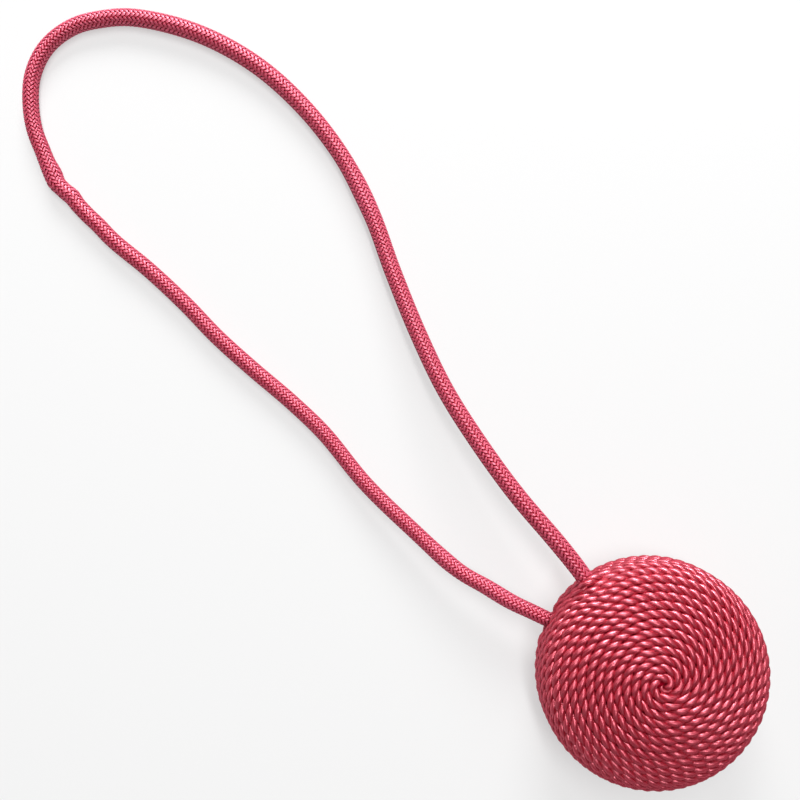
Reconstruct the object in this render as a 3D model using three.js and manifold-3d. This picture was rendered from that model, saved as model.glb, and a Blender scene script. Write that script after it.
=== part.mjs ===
// Magnetic curtain tieback: two shallow wound halves that close face to face into one thick disc,
// and a braided cord laid in a loop, with one end fixed in the rim of each half.
// Millimetres, +Z up. The origin is the middle of the flat spot that the closed disc rests on.
import * as THREE from 'three';
import { mergeVertices } from 'three/addons/utils/BufferGeometryUtils.js';
import Module from 'manifold-3d';

const wasm = await Module();
wasm.setup();

// Wound halves: a shallow crown, a round shoulder and a short straight rim beside the closing face
const discRadius = 27.5;
const crownRadius = 63;
const shoulderRadius = 6.7;
const rimHeight = 2.5;
const restRadius = 8;
const closingGap = 0.3;

// Cord, and the blind pockets in the rims that hold its ends
const cordRadius = 2.1;
const pocketClearance = 0.32;
const pocketDepth = 6;
const pocketOffset = 2.95;
const upperPocketAngle = THREE.MathUtils.degToRad(125.5);
const lowerPocketAngle = THREE.MathUtils.degToRad(154);
const straightLead = 3.5;

// Facets
const discSegments = 64;
const crownSteps = 7;
const shoulderSteps = 8;
const cordSides = 10;
const cordSteps = 54;
const pocketSides = 24;

// Free route of the cord from the upper half round the loop to the lower half: x, y, z
const freeRoute = [
  [-23.0, 31.5, 15.5],
  [-32.4, 42.6, 14.1],
  [-41.2, 54.8, 12.0],
  [-49.3, 67.8, 9.8],
  [-56.0, 82.0, 7.4],
  [-62.0, 97.0, 5.3],
  [-67.5, 112.0, 3.8],
  [-75.0, 126.5, 2.8],
  [-85.1, 139.4, 2.3],
  [-97.1, 149.9, 2.15],
  [-111.5, 157.5, 2.15],
  [-127.0, 161.3, 2.15],
  [-135.0, 161.0, 2.15],
  [-142.5, 159.0, 2.15],
  [-149.0, 154.0, 2.15],
  [-152.5, 147.0, 2.15],
  [-153.0, 139.0, 2.15],
  [-151.5, 131.0, 2.15],
  [-148.5, 124.0, 2.15],
  [-144.0, 117.0, 2.15],
  [-138.2, 111.7, 2.15],
  [-132.8, 105.8, 2.15],
  [-123.4, 98.0, 2.15],
  [-114.4, 89.6, 2.15],
  [-106.1, 81.0, 2.15],
  [-97.1, 72.9, 2.15],
  [-87.9, 65.1, 2.3],
  [-79.4, 57.0, 2.7],
  [-69.0, 44.5, 3.9],
  [-57.5, 33.5, 5.9],
  [-46.0, 23.5, 8.0],
  [-39.0, 19.5, 9.0],
  [-33.0, 16.0, 9.6],
];

// Crown and shoulder are arcs that meet where both lean by the same angle
const meetAngle = Math.asin((discRadius - shoulderRadius) / (crownRadius - shoulderRadius));
const shoulderCentreHeight = rimHeight;
const crownCentreHeight = shoulderCentreHeight - (crownRadius - shoulderRadius) * Math.cos(meetAngle);

// Height of the crown above the closing face, at a distance from the axis
function crownHeight(distance) {
  return crownCentreHeight + Math.sqrt(crownRadius ** 2 - distance ** 2);
}

const closingHeight = crownHeight(restRadius);
const upperClosingHeight = closingHeight + closingGap;

// Outline of one half above its closing face, from the axis out and up to the middle of the face,
// which is flat inside flatRadius
function halfOutline(flatRadius) {
  const outline = [new THREE.Vector2(0, 0), new THREE.Vector2(discRadius, 0)];
  for (let step = 0; step <= shoulderSteps; step += 1) {
    const lean = THREE.MathUtils.lerp(Math.PI / 2, meetAngle, step / shoulderSteps);
    const distance = discRadius - shoulderRadius + shoulderRadius * Math.sin(lean);
    outline.push(new THREE.Vector2(distance, shoulderCentreHeight + shoulderRadius * Math.cos(lean)));
  }
  const meetDistance = crownRadius * Math.sin(meetAngle);
  for (let step = 1; step < crownSteps; step += 1) {
    const distance = THREE.MathUtils.lerp(meetDistance, flatRadius, step / crownSteps);
    outline.push(new THREE.Vector2(distance, crownHeight(distance)));
  }
  if (flatRadius > 0) {
    outline.push(new THREE.Vector2(flatRadius, crownHeight(flatRadius)));
  }
  outline.push(new THREE.Vector2(0, crownHeight(flatRadius)));
  return outline;
}

// Closed solid from a geometry, with its shared corners merged and empty triangles dropped
function toSolid(geometry) {
  const bare = geometry.clone();
  bare.deleteAttribute('normal');
  bare.deleteAttribute('uv');
  const merged = mergeVertices(bare);
  const corners = merged.index.array;
  const triVerts = [];
  for (let first = 0; first < corners.length; first += 3) {
    const [a, b, c] = corners.slice(first, first + 3);
    if (a !== b && b !== c && c !== a) {
      triVerts.push(a, b, c);
    }
  }
  const mesh = new wasm.Mesh({
    numProp: 3,
    vertProperties: new Float32Array(merged.attributes.position.array),
    triVerts: new Uint32Array(triVerts),
  });
  return new wasm.Manifold(mesh);
}

function toGeometry(solid) {
  const mesh = solid.getMesh();
  const geometry = new THREE.BufferGeometry();
  geometry.setAttribute('position', new THREE.BufferAttribute(mesh.vertProperties, 3));
  geometry.setIndex(new THREE.BufferAttribute(mesh.triVerts, 1));
  geometry.computeVertexNormals();
  return geometry;
}

// Point on the axis of a rim pocket, at a distance from the disc's axis
function pocketPoint(angle, distance, height) {
  return new THREE.Vector3(distance * Math.cos(angle), distance * Math.sin(angle), height);
}

// One wound half, with its closing face at closingFace and its crown towards facing (+1 up, -1 down)
function woundHalf(flatRadius, facing, closingFace, pocketAngle) {
  const body = new THREE.LatheGeometry(halfOutline(flatRadius), discSegments);
  body.rotateX(facing * Math.PI / 2);
  body.translate(0, 0, closingFace);
  const reach = pocketDepth + shoulderRadius;
  const pocket = new THREE.CylinderGeometry(
    cordRadius + pocketClearance,
    cordRadius + pocketClearance,
    reach,
    pocketSides,
  );
  pocket.rotateZ(pocketAngle - Math.PI / 2);
  const middle = discRadius - pocketDepth + reach / 2;
  const centre = pocketPoint(pocketAngle, middle, closingFace + facing * pocketOffset);
  pocket.translate(centre.x, centre.y, centre.z);
  return toGeometry(toSolid(body).subtract(toSolid(pocket)));
}

// Braided cord: straight out of the upper pocket, round the free route, straight into the lower pocket
function cordTube() {
  const innerEnd = discRadius - pocketDepth + pocketClearance;
  const mouth = discRadius + straightLead;
  const upperHeight = upperClosingHeight + pocketOffset;
  const lowerHeight = closingHeight - pocketOffset;
  const route = new THREE.CatmullRomCurve3([
    pocketPoint(upperPocketAngle, innerEnd, upperHeight),
    pocketPoint(upperPocketAngle, mouth, upperHeight),
    ...freeRoute.map(([x, y, z]) => new THREE.Vector3(x, y, z)),
    pocketPoint(lowerPocketAngle, mouth, lowerHeight),
    pocketPoint(lowerPocketAngle, innerEnd, lowerHeight),
  ]);
  const section = new THREE.Shape();
  for (let side = 0; side < cordSides; side += 1) {
    const angle = (side / cordSides) * 2 * Math.PI;
    const corner = [cordRadius * Math.cos(angle), cordRadius * Math.sin(angle)];
    if (side === 0) {
      section.moveTo(...corner);
    } else {
      section.lineTo(...corner);
    }
  }
  section.closePath();
  return new THREE.ExtrudeGeometry(section, { steps: cordSteps, extrudePath: route });
}

const woundYarn = { color: 0xa52d3e, roughness: 0.5, metalness: 0 };
const braidedYarn = { color: 0xbb4a5f, roughness: 0.55, metalness: 0 };

function piece(name, geometry, finish) {
  const mesh = new THREE.Mesh(geometry, new THREE.MeshStandardMaterial(finish));
  mesh.name = name;
  return mesh;
}

const tieback = new THREE.Group();
tieback.add(piece('upper_half', woundHalf(0, 1, upperClosingHeight, upperPocketAngle), woundYarn));
tieback.add(piece('lower_half', woundHalf(restRadius, -1, closingHeight, lowerPocketAngle), woundYarn));
tieback.add(piece('cord', cordTube(), braidedYarn));

export default tieback;
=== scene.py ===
import math

import bmesh
import bpy
import numpy as np
from mathutils import Matrix, Vector


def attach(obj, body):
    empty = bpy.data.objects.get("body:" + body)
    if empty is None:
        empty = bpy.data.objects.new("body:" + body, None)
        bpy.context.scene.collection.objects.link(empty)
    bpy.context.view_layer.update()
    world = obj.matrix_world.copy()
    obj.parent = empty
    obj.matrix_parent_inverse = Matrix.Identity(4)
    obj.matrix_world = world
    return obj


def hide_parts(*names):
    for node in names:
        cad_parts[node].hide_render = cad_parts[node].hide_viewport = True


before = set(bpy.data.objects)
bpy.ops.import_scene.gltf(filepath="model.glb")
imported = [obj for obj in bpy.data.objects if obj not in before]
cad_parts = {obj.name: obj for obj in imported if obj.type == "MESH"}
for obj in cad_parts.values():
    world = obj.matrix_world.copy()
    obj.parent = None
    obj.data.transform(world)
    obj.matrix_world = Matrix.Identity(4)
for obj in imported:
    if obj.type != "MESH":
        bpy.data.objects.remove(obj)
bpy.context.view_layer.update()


# Camera: it hangs straight above the middle of the picture and looks down on the table.
# It is close, so the near side of the thick disc shows at the upper left of its outline.
camera_lens = bpy.data.cameras.new("camera")
camera_lens.sensor_width = 36
camera_lens.lens = 45.8
camera_lens.clip_start = 0.01
camera_lens.clip_end = 20
camera = bpy.data.objects.new("camera", camera_lens)
camera.location = (-0.0603, 0.0653, 0.2578)
bpy.context.scene.collection.objects.link(camera)
bpy.context.scene.camera = camera


# Cord: a round braid of 24 silky crimson yarns, each passing over two and under two, so that the
# floats lie in 12 columns of herringbone. It is laid on the table in a loop, and each end goes
# straight into a pocket in the rim of one wound half.
cord_radius = 0.0021
disc_radius = 0.0275
closing_height = 0.01267
closing_gap = 0.0003
pocket_offset = 0.00295
upper_pocket_angle = math.radians(125.5)
lower_pocket_angle = math.radians(154)
cord_inner_end = 0.0232
cord_mouth = 0.031
cord_route = [
    (-0.0230, 0.0315, 0.0155),
    (-0.0324, 0.0426, 0.0141),
    (-0.0412, 0.0548, 0.0120),
    (-0.0493, 0.0678, 0.0098),
    (-0.0560, 0.0820, 0.0074),
    (-0.0620, 0.0970, 0.0053),
    (-0.0675, 0.1120, 0.0038),
    (-0.0750, 0.1265, 0.0028),
    (-0.0851, 0.1394, 0.0023),
    (-0.0971, 0.1499, 0.00215),
    (-0.1115, 0.1575, 0.00215),
    (-0.1270, 0.1613, 0.00215),
    (-0.1350, 0.1610, 0.00215),
    (-0.1425, 0.1590, 0.00215),
    (-0.1490, 0.1540, 0.00215),
    (-0.1525, 0.1470, 0.00215),
    (-0.1530, 0.1390, 0.00215),
    (-0.1515, 0.1310, 0.00215),
    (-0.1485, 0.1240, 0.00215),
    (-0.1440, 0.1170, 0.00215),
    (-0.1382, 0.1117, 0.00215),
    (-0.1328, 0.1058, 0.00215),
    (-0.1234, 0.0980, 0.00215),
    (-0.1144, 0.0896, 0.00215),
    (-0.1061, 0.0810, 0.00215),
    (-0.0971, 0.0729, 0.00215),
    (-0.0879, 0.0651, 0.0023),
    (-0.0794, 0.0570, 0.0027),
    (-0.0690, 0.0445, 0.0039),
    (-0.0575, 0.0335, 0.0059),
    (-0.0460, 0.0235, 0.0080),
    (-0.0390, 0.0195, 0.0090),
    (-0.0330, 0.0160, 0.0096),
]
upper_cord_height = closing_height + closing_gap + pocket_offset
lower_cord_height = closing_height - pocket_offset
route_steps = 60
dense_step = 0.00025


def rim_point(angle, distance, height):
    return (distance * math.cos(angle), distance * math.sin(angle), height)


def unit(vectors):
    return vectors / np.linalg.norm(vectors, axis=-1, keepdims=True)


def smooth_line(points, steps):
    """Centripetal curve through the points, with that many steps in each span."""
    points = np.array(points)
    padded = np.vstack([2 * points[0] - points[1], points, 2 * points[-1] - points[-2]])
    share = np.linspace(0, 1, steps, endpoint=False)[:, None]
    line = []
    for before, start, end, after in zip(padded, padded[1:], padded[2:], padded[3:]):
        gap_before, gap, gap_after = (
            math.sqrt(np.linalg.norm(b - a)) for a, b in ((before, start), (start, end), (end, after))
        )
        leave = (start - before) / gap_before - (end - before) / (gap_before + gap) + (end - start) / gap
        arrive = (end - start) / gap - (after - start) / (gap + gap_after) + (after - end) / gap_after
        leave *= gap
        arrive *= gap
        square = 3 * (end - start) - 2 * leave - arrive
        cube = 2 * (start - end) + leave + arrive
        line.append(start + leave * share + square * share**2 + cube * share**3)
    return np.vstack(line + [points[-1:]])


def even_spaced(line, step):
    """(points at equal steps along a line, their distances along it)."""
    run = np.concatenate([[0], np.cumsum(np.linalg.norm(np.diff(line, axis=0), axis=1))])
    along = np.linspace(0, run[-1], round(run[-1] / step) + 1)
    return np.stack([np.interp(along, run, line[:, axis]) for axis in range(3)], axis=1), along


cord_line, cord_along = even_spaced(
    smooth_line(
        [
            rim_point(upper_pocket_angle, cord_inner_end, upper_cord_height),
            rim_point(upper_pocket_angle, cord_mouth, upper_cord_height),
            *cord_route,
            rim_point(lower_pocket_angle, cord_mouth, lower_cord_height),
            rim_point(lower_pocket_angle, cord_inner_end, lower_cord_height),
        ],
        route_steps,
    ),
    dense_step,
)

# Share of the nominal width along the cord: pinched where it enters each rim, fuller in the loop
cord_width_places = (0, 0.006, 0.014, 0.1, 0.125, 0.15, 0.18, 0.21, 0.34, 0.36, 0.42)
cord_width_shares = (0.96, 0.98, 1.025, 1.015, 1.01, 1.06, 1.07, 0.955, 0.945, 0.91, 0.89)
cord_width = np.interp(cord_along, cord_width_places, cord_width_shares)


def bump_along(place, reach):
    return np.exp(-(((cord_along - place) / reach) ** 2))


def ways_of(line):
    """(up, to the side) at each point of a line."""
    forward = unit(np.gradient(line, axis=0))
    up = unit(np.array([0, 0, 1]) - forward * forward[:, 2:])
    return up, np.cross(forward, up)


# Creases where the cord was folded for packing, and so spread: place, spread and half-length
cord_spread = np.ones_like(cord_along)
cord_wear = np.zeros_like(cord_along)
for crease_place, crease_spread, crease_reach in (
    (0.1145, 0.08, 0.006),
    (0.2487, 0.18, 0.003),
    (0.2553, 0.08, 0.0018),
    (0.3862, 0.06, 0.004),
    (0.4020, 0.06, 0.0045),
):
    crease = bump_along(crease_place, crease_reach)
    cord_spread += crease_spread * crease
    cord_wear += crease

# Bends that the sharpest crease left beside it: place, push to the side and half-length
cord_push = np.zeros_like(cord_along)
for bend_place, bend_push, bend_reach in (
    (0.2415, -0.00030, 0.0035),
    (0.2507, 0.00036, 0.0016),
    (0.2559, -0.00052, 0.0019),
    (0.2623, 0.00036, 0.0030),
):
    cord_push += bend_push * bump_along(bend_place, bend_reach)
cord_up, cord_side = ways_of(cord_line)
cord_line = cord_line + cord_push[:, None] * cord_side
cord_line[:, 2] += cord_radius * np.maximum(cord_width - 1, 0)
cord_up, cord_side = ways_of(cord_line)


def at_cord(values, along):
    return np.stack([np.interp(along, cord_along, values[:, axis]) for axis in range(3)], axis=1)


class TubeMesh:
    """Collects closed tubes, and makes one mesh of them with a map along and round each tube.

    A tone shifts the yarn's colour, on the braid also with painted highlight and shade, and facings are
    the ways its corners face where they are given.
    """

    def __init__(self):
        self.points = []
        self.faces = []
        self.maps = []
        self.tones = []
        self.facings = []
        self.count = 0

    def add(self, rings, run, tone, turned_by=0.0, facing=None):
        steps, sides = rings.shape[:2]
        corner = self.count + np.arange(steps * sides).reshape(steps, sides)
        turned = np.roll(corner, -1, axis=1)
        walls = np.stack([corner[:-1], turned[:-1], turned[1:], corner[1:]], axis=-1)
        self.faces += walls.reshape(-1, 4).tolist()
        self.faces += [corner[0, ::-1].tolist(), corner[-1].tolist()]
        near = np.repeat(run[:-1, None], sides, axis=1)
        far = np.repeat(run[1:, None], sides, axis=1)
        low = np.add.outer(np.broadcast_to(turned_by, (steps,)), np.arange(sides) / sides)
        high = low + 1 / sides
        wall_map = np.stack(
            [near, low[:-1], near, high[:-1], far, high[1:], far, low[1:]], axis=-1
        )
        self.maps.append(wall_map.reshape(-1, 2))
        for end in (run[0], run[-1]):
            self.maps.append(np.tile([end, 0.5], (sides, 1)))
        self.points.append(rings.reshape(-1, 3))
        if facing is not None:
            self.facings.append(facing.reshape(-1, 3))
        self.tones.append(np.broadcast_to(tone, (steps,)).repeat(sides))
        self.count += steps * sides

    def make(self, name):
        mesh = bpy.data.meshes.new(name)
        mesh.from_pydata(np.concatenate(self.points).tolist(), [], self.faces)
        layer = mesh.uv_layers.new(name="yarn")
        layer.uv.foreach_set("vector", np.concatenate(self.maps).astype(np.float32).ravel())
        tone = mesh.attributes.new("tone", "FLOAT", "POINT")
        tone.data.foreach_set("value", np.concatenate(self.tones).astype(np.float32))
        mesh.shade_smooth()
        if self.facings:
            mesh.normals_split_custom_set_from_vertices(np.concatenate(self.facings).tolist())
        return mesh


def tube_rings(line, outward, half_depth, half_width, corners, leans):
    """(rings round a line with corners at these angles from outward, the ways the corners face)."""
    forward = unit(np.gradient(line, axis=0))
    lift = unit(outward - forward * np.sum(outward * forward, axis=1, keepdims=True))
    across = np.cross(forward, lift)
    rise = np.multiply.outer(half_depth, np.cos(corners))
    spread = np.multiply.outer(half_width, np.sin(corners))
    rings = line[:, None] + rise[..., None] * lift[:, None] + spread[..., None] * across[:, None]
    facing = np.cos(leans)[:, None] * lift[:, None] + np.sin(leans)[:, None] * across[:, None]
    return rings, facing


# Braid: places along one over-and-under of a yarn, how deep and wide it is there, and its painted
# highlight and shade
yarns_each_way = 12
floats_round = 6
float_places = np.radians([-76, -40, 40, 76, 180])
float_depths = np.array([0.00012, 0, 0, 0.00012, 0.00058])
float_widths = np.array([0.8, 1, 1, 0.8, 0.7])
# Painted highlight and shade: paler on each float's crest, darker at its ends, darkest where it dives
# under
float_painted_light = np.array([0.05, 0.95, 0.95, 0.05, -0.3])
yarn_half_width = 0.00033
yarn_half_depth = 0.00021
tone_change = 0.1
wear_tone = 0.4
map_scale = 1000
yarn_corners = np.radians([-52, 52, 128, 232])
yarn_leans = np.radians([-14, 14, 150, 210])
braid_roll = math.radians(-30)
braid_turn_places = (0.02, 0.05, 0.09, 0.17, 0.24, 0.265, 0.3, 0.34, 0.42)
braid_turns = (0.0143, 0.0136, 0.0131, 0.0139, 0.0132, 0.0144, 0.0138, 0.0129, 0.0131)
braid_turn = np.interp(cord_along, braid_turn_places, braid_turns)
braid_phase = np.concatenate([[0], np.cumsum(dense_step * 2 * math.pi / braid_turn[1:])])
braid_seed = 5
draw = np.random.default_rng(braid_seed)

cord_mesh = TubeMesh()
for way, first in ((1, 0), (-1, 0.5)):
    for yarn in range(yarns_each_way):
        start_angle = 2 * math.pi * (yarn + first) / yarns_each_way
        crest = 0 if way > 0 else math.pi
        count = int(braid_phase[-1] / (2 * math.pi) * floats_round) + 2 * floats_round
        beats = 2 * math.pi * np.arange(-count, count)[:, None] + crest + float_places
        phase = way * (beats.ravel() / floats_round - start_angle)
        depth = np.tile(float_depths, 2 * count)
        width = np.tile(float_widths, 2 * count)
        order = np.argsort(phase)
        order = order[(phase[order] > 0) & (phase[order] < braid_phase[-1])]
        phase = phase[order]
        along = np.interp(phase, braid_phase, cord_along)
        angle = start_angle + way * phase + braid_roll
        rise = np.cos(angle)[:, None] * at_cord(cord_up, along)
        aside = np.sin(angle)[:, None] * at_cord(cord_side, along)
        outward = rise + aside
        share = np.interp(along, cord_along, cord_width)
        spread = np.interp(along, cord_along, cord_spread)
        distance = share * (cord_radius - yarn_half_depth * math.cos(yarn_corners[1]) - depth[order])
        line = at_cord(cord_line, along) + distance[:, None] * (rise + spread[:, None] * aside)
        half_width = yarn_half_width * share * width[order]
        rings, facing = tube_rings(
            line, outward, yarn_half_depth * share, half_width, yarn_corners, yarn_leans
        )
        run = np.concatenate([[0], np.cumsum(np.linalg.norm(np.diff(line, axis=0), axis=1))])
        # Painted highlight and shade along the floats, plus a random tone for each yarn
        tone = np.tile(float_painted_light, 2 * count)[order] + draw.uniform(-tone_change, tone_change)
        tone += wear_tone * np.interp(along, cord_along, cord_wear)
        cord_mesh.add(rings, run * map_scale, tone, facing=facing)

# The yarns that run hidden under the floats fill the middle of the braid; they are painted the deep
# colour without shine, as painted shade
filling_radius = 0.00168
filling_stride = 8
filling_sides = 8
hidden_shade_tone = -2
filling = slice(0, None, filling_stride)
filling_half = filling_radius * cord_width[filling]
filling_corners = np.arange(filling_sides) * 2 * math.pi / filling_sides
filling_wide = filling_half * cord_spread[filling]
rings, facing = tube_rings(
    cord_line[filling], cord_up[filling], filling_half, filling_wide, filling_corners, filling_corners
)
cord_mesh.add(rings, cord_along[filling] * map_scale, hidden_shade_tone, facing=facing)


class Finish:
    """An output of a material's nodes. Sums on it add Math nodes to the same material."""

    def __init__(self, tree, socket=None):
        self.tree = tree
        self.socket = socket

    def node(self, kind, settings, sockets, output=0):
        made = self.tree.nodes.new(kind)
        for name, value in settings.items():
            setattr(made, name, value)
        for name, value in sockets.items():
            if isinstance(value, Finish):
                self.tree.links.new(value.socket, made.inputs[name])
            else:
                made.inputs[name].default_value = value
        return Finish(self.tree, made.outputs[output] if made.outputs else None)

    def sum(self, operation, first, second):
        return self.node("ShaderNodeMath", {"operation": operation}, {0: first, 1: second})

    def __add__(self, other):
        return self.sum("ADD", self, other)

    __radd__ = __add__

    def __sub__(self, other):
        return self.sum("SUBTRACT", self, other)

    def __rsub__(self, other):
        return self.sum("SUBTRACT", other, self)

    def __mul__(self, other):
        return self.sum("MULTIPLY", self, other)

    __rmul__ = __mul__

    def __lt__(self, other):
        return self.sum("LESS_THAN", self, other)


def silky_yarn(name, deep, pale, shine_colour, filaments, relief_depth, glosses):
    """Bright filament yarn: fine streaks run along it, and each yarn has its own tone.

    A tone far below nothing marks the yarn that lies hidden beneath; it is painted the deep colour
    and given no shine, as painted shade. The shine has one colour for all glosses. Each gloss has
    its share, its roughness, how far it is drawn out to one side, and the turn of that side.
    """
    streak_length = 0.55
    streak_share = 0.4
    tone_share = 0.6
    painted_shade_below = -1
    gloss_change = 0.3
    edge_tint = (0.4, 0.08, 0.12, 1)
    material = bpy.data.materials.new(name)
    material.use_nodes = True
    tree = material.node_tree
    tree.nodes.clear()
    base = Finish(tree)
    place = base.node("ShaderNodeUVMap", {"uv_map": "yarn"}, {})
    stretched = base.node(
        "ShaderNodeVectorMath", {"operation": "MULTIPLY"}, {0: place, 1: (streak_length, filaments, 1)}
    )
    streak = base.node(
        "ShaderNodeTexNoise",
        {"noise_dimensions": "2D"},
        {"Vector": stretched, "Scale": 1.0, "Detail": 3.0, "Roughness": 0.6},
    )
    tone = base.node("ShaderNodeAttribute", {"attribute_name": "tone"}, {}, "Fac")
    hidden = tone < painted_shade_below
    colour = base.node(
        "ShaderNodeMix",
        {"data_type": "RGBA"},
        {0: streak_share * streak + tone_share * tone, 6: (*deep, 1), 7: (*pale, 1)},
        2,
    )
    relief = base.node(
        "ShaderNodeBump", {}, {"Strength": 1.0, "Distance": relief_depth, "Height": streak}
    )
    silk = base.node(
        "ShaderNodeBsdfPrincipled",
        {},
        {"Base Color": colour, "Roughness": 0.8, "Normal": relief, "Specular IOR Level": 0.0},
    )
    for gloss_share, roughness, drawn_out, gloss_turn in glosses:
        shine = base.node(
            "ShaderNodeBsdfPrincipled",
            {},
            {
                "Base Color": (*shine_colour, 1),
                "Specular Tint": edge_tint,
                "Metallic": 1.0,
                "Roughness": roughness + gloss_change * (streak - 0.5),
                "Normal": relief,
                "Anisotropic": drawn_out,
                "Anisotropic Rotation": gloss_turn,
            },
        )
        # No shine on the hidden yarn: painted shade
        silk = base.node(
            "ShaderNodeMixShader", {}, {0: gloss_share * (1 - hidden), 1: silk, 2: shine}
        )
    base.node("ShaderNodeOutputMaterial", {}, {"Surface": silk})
    return material


def place_piece(mesh, material):
    mesh.materials.append(material)
    piece = bpy.data.objects.new(mesh.name, mesh)
    bpy.context.scene.collection.objects.link(piece)
    return piece


braided_yarn = silky_yarn(
    "braided_yarn",
    deep=(0.32, 0.003, 0.017),
    pale=(0.53, 0.07, 0.125),
    shine_colour=(1, 0.4, 0.5),
    filaments=7,
    relief_depth=0.00001,
    glosses=[(0.22, 0.42, 0, 0)],
)
cord = place_piece(cord_mesh.make("braided_cord"), braided_yarn)
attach(cord, "root")
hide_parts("cord")


# Wound halves: each is a shallow crowned shell closely wound with one cord of two silky yarns,
# twisted together, coiled from the middle of the face over the round edge to the closing face.
# The last turns stop beside the cord with their ends tucked in, and those above bend over it.
crown_radius = 0.063
shoulder_radius = 0.0067
rim_height = 0.0025
rest_radius = 0.008

# Coil: its spacing, the turns that run level before they step down to the next, and its two ends
turn_radius = 0.00104
turn_pitch = 0.00203
first_level_turn = 9
level_turns = 6
last_turn = 15
last_part = 0.545
first_run = 0.0006
coil_steps = 40000
step_from = 0.38
step_to = 0.62
crown_steps = 240
shoulder_steps = 160
rim_steps = 40

# Yarn: the section of one ply, and the length in which the plies go once round each other
yarn_radius = 0.00108
ply_angles = np.radians([0, 28, 54, 76, 88, 180, 272, 284, 306, 332])
ply_shares = np.array([1, 0.952, 0.84, 0.7, 0.58, 0.05, 0.58, 0.7, 0.84, 0.952])
squareness = 3
yarn_flattening = 1.08
filament_turn = 0.7
ply_step = 0.0004
ply_lay = 0.0057

# Where the turns meet the cord: tucked ends, and shifts and reaches of the turns that pass over it
tuck_depth = 0.0009
tuck_reach = 0.0025
cord_room = 0.0001
winding_seed = 11
arch_gaps = (-0.0002, 0.0017, 0.0035, 0.0055, 0.0075, 0.0095, 0.0140)
arch_shifts = (0.0023, 0.00145, 0.00115, 0.0008, 0.0005, 0.00025, 0)
shift_reach = 0.0048
lift_reach = 0.0034

# Form beneath the turns
beneath_sunk = 0.0016
beneath_lowest = 0.0002
beneath_rings = 40
beneath_sides = 72
merge_distance = 0.000001
meet_lean = math.asin((disc_radius - shoulder_radius) / (crown_radius - shoulder_radius))
crown_drop = (crown_radius - shoulder_radius) * math.cos(meet_lean)


def soft_step(value, low, high):
    share = np.clip((value - low) / (high - low), 0, 1)
    return share * share * (3 - 2 * share)


def half_outline(flat_radius, sunk, lowest):
    """Outline from the pole to the rim, sunk into the half: distance, height and lean of its faces."""
    lean = np.concatenate(
        [
            np.linspace(0, meet_lean, crown_steps),
            np.linspace(meet_lean, math.pi / 2, shoulder_steps)[1:],
        ]
    )
    crown = lean <= meet_lean
    radius = np.where(crown, crown_radius, shoulder_radius) - sunk
    distance = radius * np.sin(lean) + np.where(crown, 0, disc_radius - shoulder_radius)
    height = rim_height + radius * np.cos(lean) - np.where(crown, crown_drop, 0)
    if flat_radius > 0:
        top = rim_height - crown_drop + math.sqrt(crown_radius**2 - flat_radius**2) - sunk
        lean = np.where(height > top, 0, lean)
        height = np.minimum(height, top)
    rim = np.linspace(rim_height, lowest, rim_steps)[1:]
    distance = np.concatenate([distance, np.full(rim.shape, disc_radius - sunk)])
    height = np.concatenate([height, rim])
    lean = np.concatenate([lean, np.full(rim.shape, math.pi / 2)])
    return distance, height, lean


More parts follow.
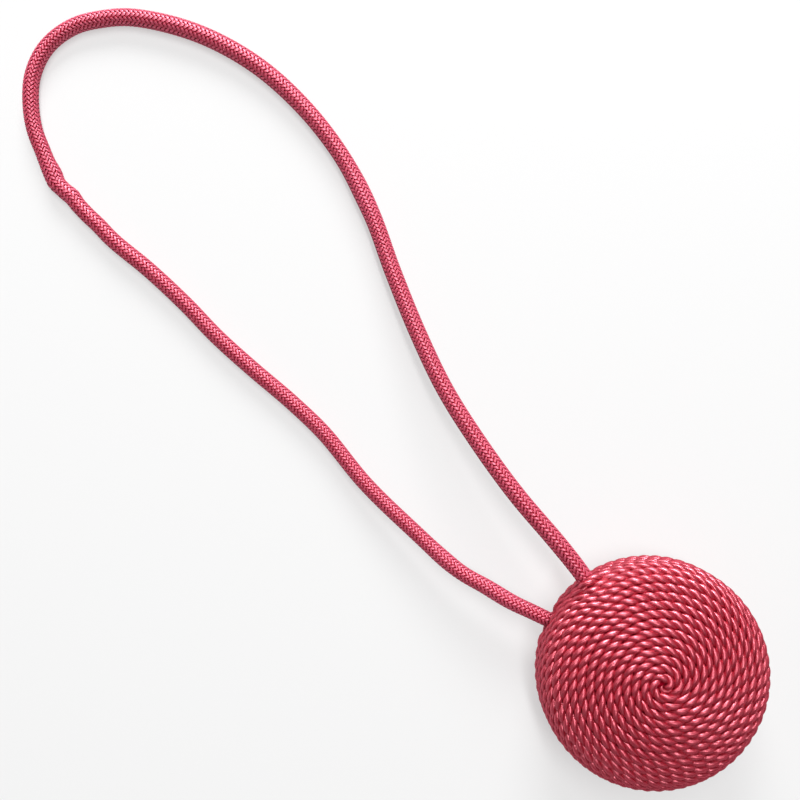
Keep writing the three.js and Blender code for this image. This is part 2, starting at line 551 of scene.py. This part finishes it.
def wound_half(name, flat_radius, pocket_turn, coil_start, side, arch_lifts, break_gap):
    """Mesh of one half, with its crown up (side 1) or down (side -1).

    The pocket lies at pocket_turn, where the turns lift by arch_lifts to pass over the cord. Turns
    that lie further along the outline than the pocket by break_gap are broken beside the cord.
    """
    distance, height, lean = half_outline(flat_radius, turn_radius, turn_radius)
    run = np.concatenate([[0], np.cumsum(np.hypot(np.diff(distance), np.diff(height)))])
    pocket_run = np.interp(-pocket_offset, -height[lean > meet_lean], run[lean > meet_lean])
    squeeze_from = first_level_turn + pocket_turn
    free_end = coil_start + turn_pitch * (last_turn + pocket_turn)
    squeeze = (free_end - run[-1]) / (last_turn + pocket_turn - squeeze_from) ** 2

    def coil_run(turn):
        """Distance from the pole along the outline at each turn of the coil."""
        whole = np.floor(turn)
        part = turn - whole
        level = soft_step(whole, first_level_turn - 1, first_level_turn + level_turns - 2)
        part = part + level * (soft_step(part, step_from, step_to) - part)
        coiled = whole + part + pocket_turn
        return coil_start + turn_pitch * coiled - squeeze * np.maximum(coiled - squeeze_from, 0) ** 2

    def over_cord(turn, coil, changes, reach):
        """How much the turns above the pocket change their place to pass over the cord."""
        beside = (turn - np.round(turn)) * 2 * math.pi * disc_radius
        return np.interp(pocket_run - coil, arch_gaps, changes) * np.exp(-((beside / reach) ** 2))

    first_turn = (first_run - coil_start) / turn_pitch - pocket_turn
    turns = np.linspace(first_turn, last_turn + last_part, coil_steps)
    coil = coil_run(turns)
    round_run = 2 * math.pi * np.interp(coil[1:], run, distance) * np.diff(turns)
    length = np.concatenate([[0], np.cumsum(np.hypot(round_run, np.diff(coil)))])
    beside = (cord_radius + cord_room) / (2 * math.pi * disc_radius)
    broken = [turn for turn in range(last_turn + 1) if coil_run(turn) > pocket_run + break_gap]
    starts = [turns[0], *(turn + beside for turn in broken)]
    ends = [*(turn - beside for turn in broken), turns[-1]]
    tubes = TubeMesh()
    draw = np.random.default_rng(winding_seed)
    for start, end in zip(starts, ends):
        first, last = np.interp([start, end], turns, length)
        along = np.linspace(first, last, round((last - first) / ply_step) + 1)
        turn = np.interp(along, length, turns)
        coil_here = coil_run(turn)
        lift_here = over_cord(turn, coil_here, arch_lifts, lift_reach)
        coil_here = coil_here - over_cord(turn, coil_here, arch_shifts, shift_reach)
        tilt = np.interp(coil_here, run, lean)
        angle = 2 * math.pi * (turn + pocket_turn)
        out = np.stack([np.cos(angle), np.sin(angle), np.zeros_like(angle)], axis=1)
        up = np.array([0, 0, 1])
        outward = np.sin(tilt)[:, None] * out + np.cos(tilt)[:, None] * up
        tuck = soft_step(first + tuck_reach - along, 0, tuck_reach)
        tuck = tuck + soft_step(along - last + tuck_reach, 0, tuck_reach)
        line = np.interp(coil_here, run, distance)[:, None] * out
        line = line + np.interp(coil_here, run, height)[:, None] * up
        line = line + (lift_here - tuck_depth * tuck)[:, None] * outward
        forward = unit(np.gradient(line, axis=0))
        lift = unit(outward - forward * np.sum(outward * forward, axis=1, keepdims=True))
        across = np.cross(forward, lift)
        for ply in (0, 1):
            twist = 2 * math.pi * along / ply_lay + math.pi * ply
            corner = np.add.outer(twist, ply_angles)[..., None]
            rise, spread = np.cos(corner), np.sin(corner)
            spoke = rise * lift[:, None] + yarn_flattening * spread * across[:, None]
            squared = (np.abs(rise) ** squareness + np.abs(spread) ** squareness) ** (1 / squareness)
            rings = line[:, None] + yarn_radius * ply_shares[:, None] * spoke / squared
            turned_by = filament_turn * twist / (2 * math.pi)
            tubes.add(rings, along * map_scale, draw.uniform(0, 1), turned_by)
    mesh = tubes.make(name)

    # The turns beneath close the form; they are painted the deep colour without shine, as painted shade
    body = bmesh.new()
    body.from_mesh(mesh)
    known = len(mesh.vertices)
    under_distance, under_height, _ = half_outline(flat_radius, beneath_sunk, beneath_lowest)
    chosen = np.linspace(0, len(under_distance) - 1, beneath_rings).round().astype(int)
    chain = [body.verts.new((0, 0, under_height[0]))]
    chain += [body.verts.new((under_distance[i], 0, under_height[i])) for i in chosen[1:]]
    chain.append(body.verts.new((0, 0, under_height[-1])))
    edges = [body.edges.new(pair) for pair in zip(chain, chain[1:])]
    bmesh.ops.spin(
        body,
        geom=chain + edges,
        cent=(0, 0, 0),
        axis=(0, 0, 1),
        angle=2 * math.pi,
        steps=beneath_sides,
        use_merge=True,
    )
    body.verts.ensure_lookup_table()
    bmesh.ops.remove_doubles(body, verts=body.verts[known:], dist=merge_distance)
    body.verts.ensure_lookup_table()
    beneath = body.verts[known:]
    beneath_faces = {face for vert in beneath for face in vert.link_faces}
    bmesh.ops.recalc_face_normals(body, faces=list(beneath_faces))
    tone = body.verts.layers.float["tone"]
    # Painted shade: the form beneath takes the deep colour and no shine
    for vert in beneath:
        vert[tone] = hidden_shade_tone
    for face in beneath_faces:
        face.smooth = True
    if side < 0:
        body.transform(Matrix.Rotation(math.pi, 4, "X"))
    closing = closing_height + (closing_gap if side > 0 else 0)
    body.transform(Matrix.Translation((0, 0, closing)))
    body.to_mesh(mesh)
    body.free()
    return mesh


wound_yarn = silky_yarn(
    "wound_yarn",
    deep=(0.25, 0.002, 0.013),
    pale=(0.36, 0.005, 0.024),
    shine_colour=(1, 0.28, 0.35),
    filaments=22,
    relief_depth=0.00002,
    glosses=[(0.15, 0.5, 0.75, 0.2), (0.36, 0.28, 0.85, 0.91)],
)

upper_half = place_piece(
    wound_half(
        "upper_winding",
        flat_radius=0,
        pocket_turn=upper_pocket_angle / (2 * math.pi),
        coil_start=0.00141,
        side=1,
        arch_lifts=(0.0021, 0.00045, 0, 0, 0, 0, 0),
        break_gap=0.001,
    ),
    wound_yarn,
)
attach(upper_half, "root")
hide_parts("upper_half")

lower_half = place_piece(
    wound_half(
        "lower_winding",
        flat_radius=rest_radius,
        pocket_turn=1 - lower_pocket_angle / (2 * math.pi),
        coil_start=0.00095,
        side=-1,
        arch_lifts=(0, 0, 0, 0, 0, 0, 0),
        break_gap=-0.0012,
    ),
    wound_yarn,
)
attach(lower_half, "root")
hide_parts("lower_half")


# Table and light: a softly glowing white board, a low window lamp beyond the top of the picture,
# a soft room lamp that gives no glints, a strip lamp overhead, and a pale surround that is
# brightest near the table.
table_size = 3
table_drop = 0.0001
board_colour = 0.28
board_glow = 0.535
lamp_target = (-0.05, 0.06, 0)
lamp_way = Vector((-0.26, 0.97, 0))
low_surround = 0.3
high_surround = 0.12
surround_fade = 0.5

table_mesh = bpy.data.meshes.new("table")
table_form = bmesh.new()
bmesh.ops.create_grid(table_form, x_segments=1, y_segments=1, size=table_size)
bmesh.ops.translate(table_form, verts=table_form.verts, vec=(0, 0, -table_drop))
table_form.to_mesh(table_mesh)
table_form.free()
table_paint = bpy.data.materials.new("table_paint")
table_paint.use_nodes = True
table_paint.node_tree.nodes.clear()
board = Finish(table_paint.node_tree)
board_shader = board.node(
    "ShaderNodeBsdfPrincipled",
    {},
    {
        "Base Color": (board_colour, board_colour, board_colour, 1),
        "Roughness": 0.8,
        "Specular IOR Level": 0.0,
        "Emission Color": (1, 1, 1, 1),
        "Emission Strength": board_glow,
    },
)
board.node("ShaderNodeOutputMaterial", {}, {"Surface": board_shader})
table = place_piece(table_mesh, table_paint)

for lamp_name, lamp_place, lamp_width, lamp_length, lamp_power, lamp_glints in (
    ("window_lamp", (-0.05, 1.0, 0.47), 0.5, 0.4, 15, True),
    ("room_lamp", (0.05, 0.29, 1.07), 0.6, 0.6, 2, False),
    ("overhead_lamp", (0.05, 0.29, 1.07), 0.12, 0.9, 9, True),
):
    lamp = bpy.data.lights.new(lamp_name, "AREA")
    lamp.shape = "RECTANGLE"
    lamp.size = lamp_width
    lamp.size_y = lamp_length
    lamp.energy = lamp_power
    lamp_object = bpy.data.objects.new(lamp_name, lamp)
    lamp_object.location = lamp_place
    lamp_object.visible_glossy = lamp_glints
    back = (Vector(lamp_place) - Vector(lamp_target)).normalized()
    across_lamp = lamp_way.cross(back).normalized()
    along_lamp = back.cross(across_lamp)
    lamp_object.rotation_euler = Matrix((across_lamp, along_lamp, back)).transposed().to_euler()
    bpy.context.scene.collection.objects.link(lamp_object)

surround = bpy.data.worlds.new("surround")
surround.use_nodes = True
surround.node_tree.nodes.clear()
air = Finish(surround.node_tree)
direction = air.node("ShaderNodeTexCoord", {}, {}, "Generated")
height = air.node("ShaderNodeSeparateXYZ", {}, {0: direction}, "Z")
brightness = air.node(
    "ShaderNodeMapRange",
    {},
    {
        "Value": height,
        "From Min": 0,
        "From Max": surround_fade,
        "To Min": low_surround,
        "To Max": high_surround,
    },
)
glow = air.node("ShaderNodeBackground", {}, {"Color": (1, 1, 1, 1), "Strength": brightness})
air.node("ShaderNodeOutputWorld", {}, {"Surface": glow})
bpy.context.scene.world = surround
bpy.context.scene.view_settings.view_transform = "Standard"
